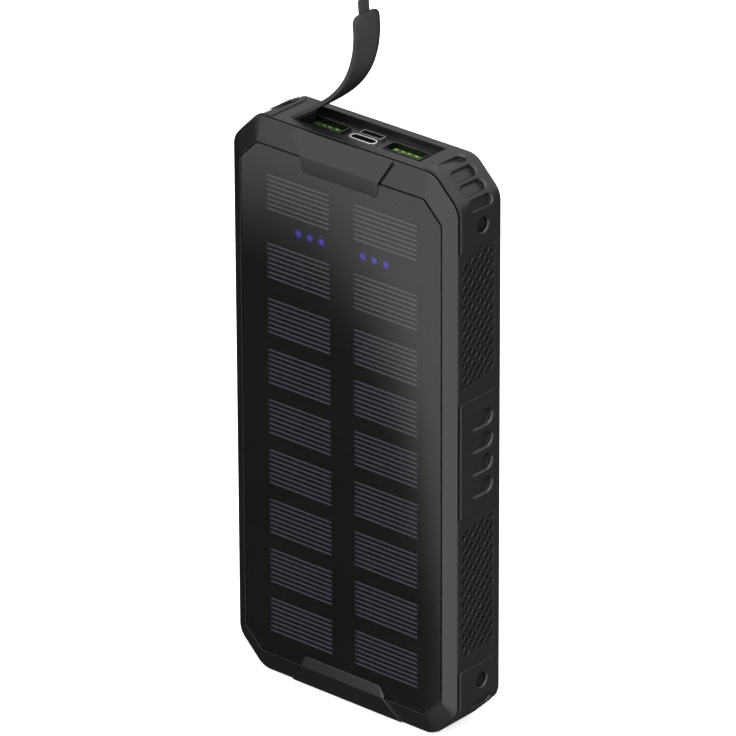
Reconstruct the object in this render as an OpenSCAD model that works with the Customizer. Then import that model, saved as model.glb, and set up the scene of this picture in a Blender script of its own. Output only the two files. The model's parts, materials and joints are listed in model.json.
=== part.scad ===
// Solar phone charger: a rugged power bank with a solar window, four charging ports and a rubber port flap.
// Frame: +Z up along the long side, +X to the right, the solar window faces -Y.
// The origin is the centre of the footprint of the upright charger. All sizes are in millimetres.

/* [Body] */
// Width of the bezel and of the housing between its raised pads
body_w = 78; // [76:0.5:84]
// Height of the body without the flap
body_h = 166; // [164:0.5:172]
// Leg of the cut-off corners
corner_cut = 8.5; // [7:0.5:9]
// Side wall thickness of the housing
wall = 2.2; // [2:0.1:2.4]
// Height of the raised corner and side pads
pad_rise = 0.35; // [0.2:0.05:0.5]
// Width of the bevel round the rear cover
rear_bevel = 2.4; // [1.8:0.1:2.4]

/* [Solar window] */
// Width of the window inside the bezel
window_w = 70.4; // [68:0.2:71]
// Lower edge of the window
window_z0 = 6.3; // [5:0.1:7]
// Upper edge of the window
window_z1 = 159.2; // [158:0.1:160]
// Leg of the window's cut-off corners
window_cut = 5.9; // [5:0.1:7]
// Rows of solar cells
cell_rows = 9; // [9]
// Width of one solar cell
cell_w = 22.8; // [20:0.2:24]
// Height of one solar cell
cell_h = 10.8; // [9:0.2:12]
// Distance between neighbouring rows
cell_pitch = 15.08; // [14.5:0.02:15.3]
// Extra space below the first row, where the status lights are
led_space = 5.06; // [4.5:0.02:5.5]
// Distance between two status lights
led_pitch = 4; // [3:0.1:5]

/* [Ports] */
// Length of the recess that the flap closes
recess_w = 45.2; // [45.2:0.1:46]
// Width of the recess from front to back
recess_d = 11; // [10.8:0.1:11.4]
// Depth of the recess
recess_depth = 2.1; // [2:0.1:2.3]
// Distance of each large port's centre from the middle
usb_a_x = 13.8; // [13.2:0.1:14.4]

/* [Flap] */
// Thickness of the rubber strap
flap_t = 1.3; // [1:0.1:1.3]
// Width of the rubber strap
flap_w = 10.4; // [9.5:0.1:10.4]
// Gap between two links of the strap, where it bends
flap_gap = 0.3; // [0.25:0.05:0.5]

/* [Button] */
// Length of the power button
button_l = 14; // [10:0.5:14]
// Height of the power button
button_h = 6; // [5:0.5:6]
// Free space round the power button
button_gap = 0.25; // [0.2:0.05:0.4]

/* [Hidden] */

$fn = 48;
eps = 0.01;

// Shields: height and half width of the foot, the ridge and the outer edge of each
top_shield = [[155, 12.6], [159.7, 13.5], [body_h - 0.02, 17]];
bottom_shield = [[9.8, 13.2], [6.7, 14.6], [0.02, 19.5]];
shield_step = 0.3;
shield_edge_y = -9.05;
groove_end = 0.6;
groove_w = 0.85;
groove_depth = 0.3;

// Layers from front to back
shield_y = -11.3;
window_y = -10.5;
bezel_edge_y = -8.55;
bezel_back_y = -8.4;
lip_y = -8.15;
housing_y0 = -7.6;
tray_y = -6.4;
housing_y1 = 8.9;
rear_y = 11.3;

// Solar window layers
lens_gap = 0.4;
lens_t = 0.5;
cell_t = 0.2;
cell_x = 15.2;
first_cell_z = 145.3;
second_gap = 1.25;
led_z = 135.85;
led_x = 11.25;
led_r = 0.8;

// Recess and ports
recess_y0 = -4.5;
recess_z = body_h - recess_depth;
mouth_z = recess_z + 1;
tray_z1 = 161.8;
usb_a_y = 0.55;
usb_a_w = 12.9;
usb_a_h = 5.2;
usb_a_l = 14;
usb_c_y = -0.8;
usb_c_w = 8.94;
usb_c_h = 3.2;
usb_c_l = 7.4;
micro_y = 2.85;
micro_w = 7.6;
micro_h = 2.7;
micro_l = 5.5;
shell_t = 0.3;
usb_c_t = 0.5;
micro_t = 0.35;
port_gap = 0.1;

// Circuit board
pcb_y0 = 0.85;
pcb_y1 = 1.43;
pcb_z0 = 131;
pcb_z1 = 161.5;
pcb_half = 33.2;
pcb_cut = 4.4;

// Batteries
battery_half = 31.8;
battery_t = 7;
battery_z0 = 5;
battery_z1 = 124;
terrace_z1 = 128;
battery_front_y = -6.3;
battery_rear_y = 0.9;

// Side pads, grips, slots and screws
side_pad_z = 84;
side_pad_half = 17;
corner_pad_h = 21;
corner_pad_x = 26.6;
pad_y0 = -7.3;
pad_y1 = 6.9;
grip_y0 = -6.8;
grip_y1 = 6.5;
grip_depth = 0.6;
slot_pitch = 6.7;
slot_r = 2.1;
slot_y0 = -3.6;
slot_y1 = 5.4;
slot_depth = 0.6;
slot_chamfer = 0.5;
slot_tilt = 6;
corner_r = 6;
corner_slot_pitch = 4.4;
corner_slot_shift = -0.3;
corner_slot_r = 1.4;
corner_slot_y1 = 5.3;
screw_y = 1.4;
screw_z_low = 15.7;
screw_z_high = 150.5;
screw_seat_r = 2.1;
screw_seat_depth = 1.2;
screw_chamfer = 0.4;

// Power button
button_y = 0.9;
flange_over = 1;
flange_t = 0.8;
board_x0 = -33.4;
board_x1 = -32.4;

// Flap: lengths of the six links, and the slope of each as the strap stands open
link_l = [11, 7, 6.6, 6.4, 6.4, 6.4];
link_slope = [33, 39, 52, 68, 81, 95];
flap_root_x = -22;
flap_root_z = body_h - 0.25;
flap_y = recess_y0 + recess_d / 2;
tab_w = 4.2;
tab_l = 4;
tab_t = 0.7;
tab_offset = 0.3;

// ---------- helpers ----------

function unit(v) = v / norm(v);

// Points of a convex outline, drawn anticlockwise, with every corner rounded to radius r
function rounded(points, r, steps) = [
  for (i = [0 : len(points) - 1])
    let (
      p = points[i],
      a = unit(points[(i + len(points) - 1) % len(points)] - p),
      b = unit(points[(i + 1) % len(points)] - p),
      half = acos(a * b) / 2,
      centre = p + unit(a + b) * r / sin(half),
      start = p + a * r / tan(half) - centre,
      angle = atan2(start[1], start[0]),
      sweep = 180 - 2 * half
    )
    for (k = [0 : steps])
      centre + r * [cos(angle + sweep * k / steps), sin(angle + sweep * k / steps)]
];

// An upright octagon: a rectangle from z0 to z1 with its corners cut off
function octagon(half_w, z0, z1, cut) = [
  [half_w, z0 + cut], [half_w, z1 - cut], [half_w - cut, z1], [cut - half_w, z1],
  [-half_w, z1 - cut], [-half_w, z0 + cut], [cut - half_w, z0], [half_w - cut, z0]
];

function rectangle(w, h) = [[w / 2, -h / 2], [w / 2, h / 2], [-w / 2, h / 2], [-w / 2, -h / 2]];

// The body outline, moved inwards by inset
function body_outline(inset, r = corner_r) =
  rounded(octagon(body_w / 2 - inset, inset, body_h - inset, corner_cut - inset * (2 - sqrt(2))), r, 5);

function window_outline(inset) =
  rounded(octagon(window_w / 2 - inset, window_z0 + inset, window_z1 - inset, window_cut), 0.8, 2);

// A slab between y0 and y1 whose outline lies in the XZ plane
module slab(points, y0, y1) {
  translate([0, y1, 0])
    rotate([90, 0, 0])
      linear_extrude(y1 - y0)
        polygon(points);
}

// A bar between x0 and x1 whose outline lies in the YZ plane
module bar(points, x0, x1) {
  translate([x0, 0, 0])
    rotate([90, 0, 90])
      linear_extrude(x1 - x0)
        polygon(points);
}

module box(x0, x1, y0, y1, z0, z1) {
  translate([x0, y0, z0])
    cube([x1 - x0, y1 - y0, z1 - z0]);
}

module both_sides() {
  children();
  mirror([1, 0, 0]) children();
}

// A stadium-shaped bar along X with its long side along Z
module stadium(x0, x1, y, z, l, h) {
  box(x0, x1, y - h / 2, y + h / 2, z - (l - h) / 2, z + (l - h) / 2);
  for (s = [-1, 1])
    translate([x0, y, z + s * (l - h) / 2])
      rotate([0, 90, 0])
        cylinder(h = x1 - x0, r = h / 2);
}

// ---------- housing ----------

// Cuts one grip slot: a stadium with a chamfered rim and a sloping floor, deepest at its rear end.
// It points along +X, with the surface at x = 0.
module slot_cut(r, y1) {
  straight = y1 - slot_y0 - 2 * r;
  over = 1;
  wide = r + slot_chamfer + over;
  translate([0, slot_y0 + r, 0])
    difference() {
      union() {
        rotate([-90, 0, 0])
          linear_extrude(straight)
            polygon([
              [-2, -r], [-slot_chamfer, -r], [over, -wide],
              [over, wide], [-slot_chamfer, r], [-2, r]
            ]);
        for (y = [0, straight])
          translate([0, y, 0])
            rotate([0, 90, 0])
              rotate_extrude()
                polygon([[0, -2], [r, -2], [r, -slot_chamfer], [wide, over], [0, over]]);
      }
      translate([-slot_depth, 0, -r - 1])
        rotate([0, 0, slot_tilt])
          translate([-4, -r - 2, 0])
            cube([4, 16, 2 * r + 2]);
    }
}

// The four slots that wrap round the upper right corner. Each is placed by its distance along the outline
// from the middle of the cut-off corner, and stands square to the outline there.
module corner_slots() {
  mid = [body_w / 2 - corner_cut / 2, body_h - corner_cut / 2];
  flat_half = corner_cut / sqrt(2) - corner_r * tan(22.5);
  for (i = [0 : 3]) {
    along = (i - 1.5) * corner_slot_pitch + corner_slot_shift;
    on_flat = max(-flat_half, min(flat_half, along));
    turn = 45 - (along - on_flat) / corner_r * 180 / PI;
    centre = mid + (on_flat * [1, -1] - corner_r * [1, 1]) / sqrt(2);
    out = corner_r + pad_rise;
    translate([centre[0] + out * cos(turn), 0, centre[1] + out * sin(turn)])
      rotate([0, -turn, 0])
        slot_cut(corner_slot_r, corner_slot_y1);
  }
}

module upside_down() {
  translate([0, 0, body_h])
    mirror([0, 0, 1])
      children();
}

upper_grip = [[grip_y0, 104.8], [grip_y1, 107], [grip_y1, 144.3], [grip_y0, 141.8]];
lower_grip = [[grip_y0, 25.2], [grip_y1, 25.8], [grip_y1, 65.2], [grip_y0, 63.3]];

// The raised pads at the corners
module corner_pads() {
  intersection() {
    slab(body_outline(-pad_rise), pad_y0, pad_y1);
    union() {
      both_sides() {
        box(corner_pad_x, body_w, pad_y0, pad_y1, body_h - corner_pad_h, body_h + 1);
        box(corner_pad_x, body_w, pad_y0, pad_y1, 0, corner_pad_h);
      }
    }
  }
}

module housing_solid() {
  slab(body_outline(0), housing_y0, housing_y1);
  corner_pads();
  edge_lips();
  both_sides()
    bar(
      [[pad_y0, side_pad_z - side_pad_half], [pad_y1, side_pad_z - side_pad_half],
       [pad_y1, side_pad_z + side_pad_half], [pad_y0, side_pad_z + side_pad_half]],
      body_w / 2 - 1, body_w / 2 + pad_rise
    );
}

// Thin lips that narrow the seam to the bezel beside the grips
module edge_lips() {
  both_sides() {
    box(body_w / 2 - 0.85, body_w / 2, lip_y, housing_y0 + eps, corner_pad_h, side_pad_z - side_pad_half);
    box(body_w / 2 - 0.85, body_w / 2, lip_y, housing_y0 + eps, side_pad_z + side_pad_half, body_h - corner_pad_h);
  }
}

module port_holes() {
  for (s = [-1, 1])
    port_bar(s * usb_a_x, usb_a_y, usb_a_w + 2 * port_gap, usb_a_h + 2 * port_gap, 0.6, tray_z1 - 1, recess_z + 1);
  port_bar(0, usb_c_y, usb_c_w + 2 * port_gap, usb_c_h + 2 * port_gap, 1.6, tray_z1 - 1, recess_z + 1);
  port_bar(0, micro_y, micro_w + 2 * port_gap, micro_h + 2 * port_gap, 0.6, tray_z1 - 1, recess_z + 1);
}

// An upright bar with a rounded rectangular section, centred on x, y
module port_bar(x, y, w, h, r, z0, z1) {
  translate([x, y, z0])
    linear_extrude(z1 - z0)
      polygon(rounded(rectangle(w, h), r, 4));
}

module housing() {
  color([0.15, 0.15, 0.16])
    difference() {
      housing_solid();
      // inner tray, open to the back
      slab(
        octagon(body_w / 2 - wall, wall, tray_z1, corner_cut - 1),
        tray_y, housing_y1 + 1
      );
      // recess for the flap, and the pocket that holds its anchor
      box(-recess_w / 2, recess_w / 2, recess_y0, recess_y0 + recess_d, recess_z, body_h + 1);
      box(-26.5, -recess_w / 2 + eps, flap_y - 4.4, flap_y + 4.4, recess_z, body_h - 0.9);
      port_holes();
      // grip slots
      for (i = [0 : 3])
        translate([body_w / 2 + pad_rise, 0, side_pad_z + (i - 1.5) * slot_pitch])
          slot_cut(slot_r, slot_y1);
      mirror([1, 0, 0])
        for (i = [0, 3])
          translate([body_w / 2 + pad_rise, 0, side_pad_z + (i - 1.5) * slot_pitch])
            slot_cut(slot_r, slot_y1);
      both_sides() {
        corner_slots();
        upside_down() corner_slots();
        // beds for the grips
        bar(upper_grip, body_w / 2 - grip_depth, body_w);
        bar(lower_grip, body_w / 2 - grip_depth, body_w);
        // seats and holes for the case screws
        for (z = [screw_z_low, screw_z_high])
          translate([body_w / 2 + pad_rise, screw_y, z])
            rotate([0, -90, 0]) {
              rotate_extrude()
                polygon([
                  [0, -0.5], [screw_seat_r + screw_chamfer + 0.5, -0.5], [screw_seat_r, screw_chamfer],
                  [screw_seat_r, screw_seat_depth + pad_rise], [0, screw_seat_depth + pad_rise]
                ]);
              cylinder(h = 4, r = 1.1);
            }
      }
      // opening for the power button
      stadium(
        -body_w, -body_w / 2 + wall + 1, button_y, side_pad_z,
        button_l + 2 * button_gap, button_h + 2 * button_gap
      );
      // way through for the lead of the solar board
      box(4.6, 11.4, housing_y0 - 1, tray_y + 1, 138.4, 139.8);
    }
}

// ---------- covers ----------

// The raised shield at the middle of an edge
module shield(levels) {
  foot = levels[0];
  ridge = levels[1];
  edge = levels[2];
  hull() {
    box(-foot[1], foot[1], window_y - shield_step, window_y + 0.04, foot[0], foot[0] + 0.04);
    box(-ridge[1], ridge[1], shield_y, bezel_back_y, ridge[0] - 0.02, ridge[0] + 0.02);
    box(-edge[1], edge[1], shield_edge_y, bezel_back_y, edge[0] - 0.02, edge[0] + 0.02);
  }
}

// Where the flank of a shield meets the slope of the bezel, at height z
function flank_point(levels, z) =
  let (
    ridge = levels[1],
    edge = levels[2],
    drop = (window_y - bezel_edge_y) / (z > body_h / 2 ? body_h - window_z1 : window_z0)
  )
  [
    ridge[1] + (edge[1] - ridge[1]) * (z - ridge[0]) / (edge[0] - ridge[0]),
    bezel_edge_y + drop * (z > body_h / 2 ? body_h - z : z),
    z
  ];

// Cuts the grooves at both ends of a shield: steep at the shield's flank and sloping up to the bezel beside it
module shield_grooves(levels, high, low) {
  start = flank_point(levels, high);
  path = flank_point(levels, low) - start;
  u = unit(path);
  n = unit([0, u[2], -u[1]]);
  v = cross(n, u);
  both_sides()
    multmatrix([
      [v[0], n[0], u[0], start[0]],
      [v[1], n[1], u[1], start[1]],
      [v[2], n[2], u[2], start[2]],
      [0, 0, 0, 1]
    ])
      linear_extrude(norm(path))
        polygon([[0, 0.3], [0, -groove_depth], [0.05, -groove_depth], [groove_w, 0], [groove_w, 0.3]]);
}

module front_bezel() {
  color([0.28, 0.28, 0.29])
    difference() {
      union() {
        hull() {
          slab(body_outline(0), bezel_edge_y, bezel_back_y);
          slab(window_outline(0), window_y, window_y + 0.04);
        }
        shield(top_shield);
        shield(bottom_shield);
      }
      slab(window_outline(0), window_y, bezel_back_y + 1);
      shield_grooves(top_shield, body_h - groove_end, window_z1 - 0.3);
      shield_grooves(bottom_shield, window_z0 + 0.3, groove_end);
    }
}

module window_lens() {
  color([0.06, 0.06, 0.07, 0.5])
    slab(window_outline(lens_gap), window_y, window_y + lens_t);
}

module front_seal() {
  color([0.03, 0.03, 0.03])
    difference() {
      slab(body_outline(0.9), bezel_back_y, housing_y0);
      slab(octagon(33, 9, 156.5, 5), bezel_back_y - 1, housing_y0 + 1);
    }
}

module rear_cover() {
  ear_x0 = 33.6;
  ear_x1 = body_w / 2 - wall - 0.1;
  color([0.13, 0.13, 0.14]) {
    difference() {
      union() {
        hull() {
          slab(body_outline(0), housing_y1, housing_y1 + 0.1);
          slab(body_outline(rear_bevel), rear_y - 0.04, rear_y);
        }
        both_sides()
          for (z = [screw_z_low, screw_z_high])
            box(ear_x0, ear_x1, screw_y - 2.4, housing_y1 + eps, z - 2.6, z + 2.6);
      }
      both_sides()
        for (z = [screw_z_low, screw_z_high])
          translate([ear_x0 - 1, screw_y, z])
            rotate([0, 90, 0])
              cylinder(h = 6, r = 1);
    }
  }
}

module case_screws() {
  head_t = 0.7;
  head_x = body_w / 2 - screw_seat_depth;
  color([0.2, 0.2, 0.21])
    both_sides()
      for (z = [screw_z_low, screw_z_high])
        translate([head_x, screw_y, z])
          difference() {
            union() {
              rotate([0, 90, 0]) cylinder(h = head_t, r = 1.85);
              rotate([0, -90, 0]) cylinder(h = 3.9, r = 0.95);
            }
            // cross recess in the head
            for (a = [0, 90])
              rotate([a, 0, 0])
                translate([head_t - 0.4, -1.2, -0.25])
                  cube([1, 2.4, 0.5]);
          }
}

module grip(points) {
  color([0.12, 0.12, 0.12])
    bar(points, body_w / 2 - grip_depth, body_w / 2 + 0.05);
}

// ---------- solar window ----------

// Middle height of each row of cells; the lights take extra space below the first row
function row_z(i) =
  first_cell_z
  - cell_pitch * (i - 1)
  - (i > 1 ? led_space : 0)
  - (i > 2 ? second_gap : 0);

module solar_cell(side, i) {
  color([0.07, 0.07, 0.09])
    box(
      side * cell_x - cell_w / 2, side * cell_x + cell_w / 2,
      window_y + lens_t, window_y + lens_t + cell_t,
      row_z(i) - cell_h / 2, row_z(i) + cell_h / 2
    );
}

module solar_board() {
  board_y = window_y + lens_t + cell_t;
  color([0.05, 0.05, 0.05])
    difference() {
      slab(window_outline(0.1), board_y, bezel_back_y);
      for (side = [-1, 1])
        led_row(side, led_r + 0.05, 1);
    }
}

module led_row(side, r, over) {
  for (k = [-1 : 1])
    translate([side * led_x + k * led_pitch, window_y + lens_t + cell_t + 0.6, led_z])
      rotate([90, 0, 0])
        cylinder(h = 0.6 + over, r = r);
}

module status_leds(side) {
  color([0.35, 0.3, 0.95])
    led_row(side, led_r, 0);
}

module solar_lead() {
  color([0.8, 0.5, 0.1])
    box(5, 11, bezel_back_y, pcb_y0, 138.8, 139.2);
}

// ---------- ports ----------

module port_shell(x, y, w, h, r, l, t) {
  color([0.75, 0.75, 0.77])
    difference() {
      port_bar(x, y, w, h, r, mouth_z - l, mouth_z);
      port_bar(x, y, w - 2 * t, h - 2 * t, r - t, mouth_z - l + 0.4, mouth_z + 1);
    }
}

// The green tongue of a large port, off centre towards the back
module usb_a_tongue(side) {
  color([0.1, 0.45, 0.15])
    box(
      side * usb_a_x - 5.6, side * usb_a_x + 5.6,
      usb_a_y + 0.1, usb_a_y + usb_a_h / 2 - shell_t - 0.15,
      mouth_z - usb_a_l + 0.4, mouth_z - 1.5
    );
}

module usb_a_contacts(side) {
  color([0.9, 0.75, 0.4])
    for (k = [0 : 3])
      translate([side * usb_a_x + [-3.5, -1, 1, 3.5][k] - 0.5, usb_a_y - 0.15, mouth_z - usb_a_l + 0.4])
        cube([1, 0.25, usb_a_l - 1.1]);
}

module usb_c_tongue() {
  color([0.08, 0.08, 0.08])
    box(-3.3, 3.3, usb_c_y - 0.35, usb_c_y + 0.35, mouth_z - usb_c_l + 0.4, mouth_z - 1.2);
}

module micro_usb_tongue() {
  color([0.08, 0.08, 0.08])
    box(-2.6, 2.6, micro_y + 0.1, micro_y + 0.7, mouth_z - micro_l + 0.4, mouth_z - 0.6);
}

// ---------- electronics ----------

module main_pcb() {
  color([0.05, 0.3, 0.15])
    difference() {
      // board with its upper corners cut off, as the housing's are
      slab(
        [[-pcb_half, pcb_z0], [pcb_half, pcb_z0], [pcb_half, pcb_z1 - pcb_cut], [pcb_half - pcb_cut, pcb_z1],
         [-pcb_half + pcb_cut, pcb_z1], [-pcb_half, pcb_z1 - pcb_cut]],
        pcb_y0, pcb_y1
      );
      for (s = [-1, 1])
        box(
          s * usb_a_x - usb_a_w / 2 - 0.1, s * usb_a_x + usb_a_w / 2 + 0.1,
          pcb_y0 - 1, pcb_y1 + 1, mouth_z - usb_a_l - 0.1, pcb_z1 + 1
        );
    }
}

module pcb_inductor() {
  color([0.25, 0.25, 0.27])
    translate([-14, pcb_y0, 141])
      rotate([90, 0, 0])
        cylinder(h = 5, r = 5);
}

module pcb_controller() {
  color([0.06, 0.06, 0.06])
    box(-3.5, 3.5, pcb_y1, pcb_y1 + 0.9, 140, 147);
}

// Small board that carries the button's switch up to the main board
module button_board() {
  color([0.05, 0.3, 0.15])
    box(board_x0, board_x1, button_y - 3.4, pcb_y0 - 0.02, side_pad_z - 9, 140);
}

module tact_switch() {
  switch_h = 1.6;
  color([0.6, 0.6, 0.62]) {
    box(board_x0 - switch_h, board_x0, -2.5, 0.8, side_pad_z - 2.6, side_pad_z + 2.6);
    translate([board_x0 - switch_h - 0.3, -0.85, side_pad_z])
      rotate([0, 90, 0])
        cylinder(h = 0.4, r = 1);
  }
}

module power_button() {
  flange_x0 = -(body_w / 2 - wall) + 0.05;
  color([0.2, 0.2, 0.21]) {
    stadium(-body_w / 2 - pad_rise + 0.05, flange_x0 + eps, button_y, side_pad_z, button_l, button_h);
    stadium(
      flange_x0, flange_x0 + flange_t, button_y, side_pad_z,
      button_l + 2 * flange_over, button_h + 2 * flange_over
    );
  }
}

module battery(y0) {
  mid = y0 + battery_t / 2;
  color([0.7, 0.72, 0.75]) {
    box(-battery_half, battery_half, y0, y0 + battery_t, battery_z0, battery_z1);
    box(-battery_half, battery_half, mid - 0.4, mid + 0.4, battery_z1 - eps, terrace_z1);
  }
}

// Bent nickel strips from each battery's terrace to the board
module battery_tabs() {
  t = 0.25;
  front_y = battery_front_y + battery_t / 2 + 0.4;
  rear_y0 = battery_rear_y + battery_t / 2 - 0.4;
  color([0.8, 0.8, 0.78])
    for (x = [-20, 16]) {
      bar(
        [[front_y, 125], [front_y + t, 125], [front_y + t, 133], [pcb_y0, 133],
         [pcb_y0, 133 + t], [front_y, 133 + t]],
        x, x + 6
      );
      bar(
        [[rear_y0 - t, 125], [rear_y0, 125], [rear_y0, 133 + t], [pcb_y1, 133 + t],
         [pcb_y1, 133], [rear_y0 - t, 133]],
        x, x + 6
      );
    }
}

module battery_pad() {
  color([0.2, 0.2, 0.2])
    box(-29, 29, battery_rear_y + battery_t, housing_y1, 12, 118);
}

// ---------- flap ----------

// Hinge line of each link, found by walking along the links below it
function hinge(i) =
  i == 1
  ? [flap_root_x, flap_root_z]
  : hinge(i - 1) + link_l[i - 2] * [cos(link_slope[i - 2]), sin(link_slope[i - 2])];

module flap_link(i) {
  p = hinge(i);
  l = link_l[i - 1];
  color([0.17, 0.17, 0.17])
    translate([p[0], flap_y, p[1]])
      rotate([0, -link_slope[i - 1], 0])
        if (i < 6)
          box(flap_gap / 2, l - flap_gap / 2, -flap_w / 2, flap_w / 2, -flap_t / 2, flap_t / 2);
        else {
          // the last link has round corners and a pull tab that lies over the rim when the flap is shut
          translate([0, 0, -flap_t / 2])
            linear_extrude(flap_t)
              polygon(concat(
                [[flap_gap / 2, flap_w / 2], [flap_gap / 2, -flap_w / 2]],
                [for (a = [0 : 15 : 90]) [l - 2 + 2 * sin(a), -flap_w / 2 + 2 - 2 * cos(a)]],
                [for (a = [0 : 15 : 90]) [l - 2 + 2 * cos(a), flap_w / 2 - 2 + 2 * sin(a)]]
              ));
          translate([l - 0.8, -tab_w / 2, tab_offset])
            cube([tab_l + 0.8, tab_w, tab_t]);
        }
}

module flap_anchor() {
  color([0.17, 0.17, 0.17]) {
    box(-26.4, -recess_w / 2 + 0.1, flap_y - 4.3, flap_y + 4.3, recess_z, body_h - 0.95);
    box(-recess_w / 2, -recess_w / 2 + 0.32, flap_y - flap_w / 2, flap_y + flap_w / 2, recess_z, body_h + 0.2);
  }
}

// ---------- every sub-part by name ----------

housing();
rear_cover();
front_bezel();
window_lens();
solar_board();
front_seal();
for (i = [1 : cell_rows]) {
  solar_cell(-1, i);
  solar_cell(1, i);
}
status_leds(-1);  // status_leds_left
status_leds(1);  // status_leds_right
case_screws();
grip(upper_grip);  // grip_right_upper
grip(lower_grip);  // grip_right_lower
mirror([1, 0, 0]) grip(upper_grip);  // grip_left_upper
mirror([1, 0, 0]) grip(lower_grip);  // grip_left_lower
power_button();
tact_switch();
button_board();
port_shell(-usb_a_x, usb_a_y, usb_a_w, usb_a_h, 0.5, usb_a_l, shell_t);  // usb_a_shell_left
port_shell(usb_a_x, usb_a_y, usb_a_w, usb_a_h, 0.5, usb_a_l, shell_t);  // usb_a_shell_right
usb_a_tongue(-1);  // usb_a_tongue_left
usb_a_tongue(1);  // usb_a_tongue_right
usb_a_contacts(-1);  // usb_a_contacts_left
usb_a_contacts(1);  // usb_a_contacts_right
port_shell(0, usb_c_y, usb_c_w, usb_c_h, 1.5, usb_c_l, usb_c_t);  // usb_c_shell
usb_c_tongue();
port_shell(0, micro_y, micro_w, micro_h, 0.5, micro_l, micro_t);  // micro_usb_shell
micro_usb_tongue();
main_pcb();
pcb_inductor();
pcb_controller();
solar_lead();
battery(battery_front_y);  // battery_front
battery(battery_rear_y);  // battery_rear
battery_tabs();
battery_pad();
flap_anchor();
flap_link(1);  // flap_link_1
flap_link(2);  // flap_link_2
flap_link(3);  // flap_link_3
flap_link(4);  // flap_link_4
flap_link(5);  // flap_link_5
flap_link(6);  // flap_link_6
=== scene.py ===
"""Looks of the solar phone charger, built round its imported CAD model.

Everything is in metres, in the CAD model's own frame: +Z up, +X right, the solar window faces -Y.
"""
import json
import math
import random

import bmesh
import bpy
from mathutils import geometry, Matrix, noise, Vector

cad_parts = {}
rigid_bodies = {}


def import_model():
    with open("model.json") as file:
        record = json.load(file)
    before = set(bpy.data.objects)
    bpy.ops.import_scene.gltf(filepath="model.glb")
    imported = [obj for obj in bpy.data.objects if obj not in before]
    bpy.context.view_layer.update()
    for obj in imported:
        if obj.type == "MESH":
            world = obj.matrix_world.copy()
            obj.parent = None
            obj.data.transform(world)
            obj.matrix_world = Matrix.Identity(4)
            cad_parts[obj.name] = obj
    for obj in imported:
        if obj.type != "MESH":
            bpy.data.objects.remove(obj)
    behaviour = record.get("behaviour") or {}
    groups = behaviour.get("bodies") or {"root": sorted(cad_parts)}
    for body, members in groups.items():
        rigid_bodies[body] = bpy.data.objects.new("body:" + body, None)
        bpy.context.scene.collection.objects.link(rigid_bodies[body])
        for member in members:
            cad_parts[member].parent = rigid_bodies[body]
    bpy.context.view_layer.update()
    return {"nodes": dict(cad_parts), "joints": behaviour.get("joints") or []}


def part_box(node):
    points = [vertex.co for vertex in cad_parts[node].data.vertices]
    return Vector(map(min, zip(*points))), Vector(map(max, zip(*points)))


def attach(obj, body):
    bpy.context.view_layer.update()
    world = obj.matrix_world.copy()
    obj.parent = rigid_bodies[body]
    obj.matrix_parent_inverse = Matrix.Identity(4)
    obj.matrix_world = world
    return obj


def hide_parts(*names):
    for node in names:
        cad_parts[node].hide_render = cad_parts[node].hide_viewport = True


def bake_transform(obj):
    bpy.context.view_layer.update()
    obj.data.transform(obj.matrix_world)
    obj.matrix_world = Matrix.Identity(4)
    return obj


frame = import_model()
NODES = frame["nodes"]
MM = 0.001
SIDES = ("left", "right")
ROWS = range(1, 10)


# ---------- camera ----------

def make_camera():
    """The photograph's viewing angle."""
    az, el, roll = math.radians(40.62), math.radians(25.59), math.radians(-0.25)
    target, distance = Vector((0, -10.5, 80)) * MM, 1.943
    slide_right, slide_up = -7.17 * MM, -19.16 * MM  # to its place in the photograph's frame
    back = Vector((math.sin(az) * math.cos(el), -math.cos(az) * math.cos(el), math.sin(el)))
    level = Vector((math.cos(az), math.sin(az), 0))
    upward = back.cross(level)
    right = level * math.cos(roll) + upward * math.sin(roll)
    up = upward * math.cos(roll) - level * math.sin(roll)
    data = bpy.data.cameras.new("camera")
    data.sensor_width, data.lens = 36, 354.24
    data.clip_start, data.clip_end = 0.05, 30
    cam = bpy.data.objects.new("camera", data)
    bpy.context.scene.collection.objects.link(cam)
    place = target + back * distance - right * slide_right - up * slide_up
    cam.matrix_world = Matrix((
        (right.x, up.x, back.x, place.x),
        (right.y, up.y, back.y, place.y),
        (right.z, up.z, back.z, place.z),
        (0, 0, 0, 1),
    ))
    bpy.context.scene.camera = cam


make_camera()


# ---------- materials ----------

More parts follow.
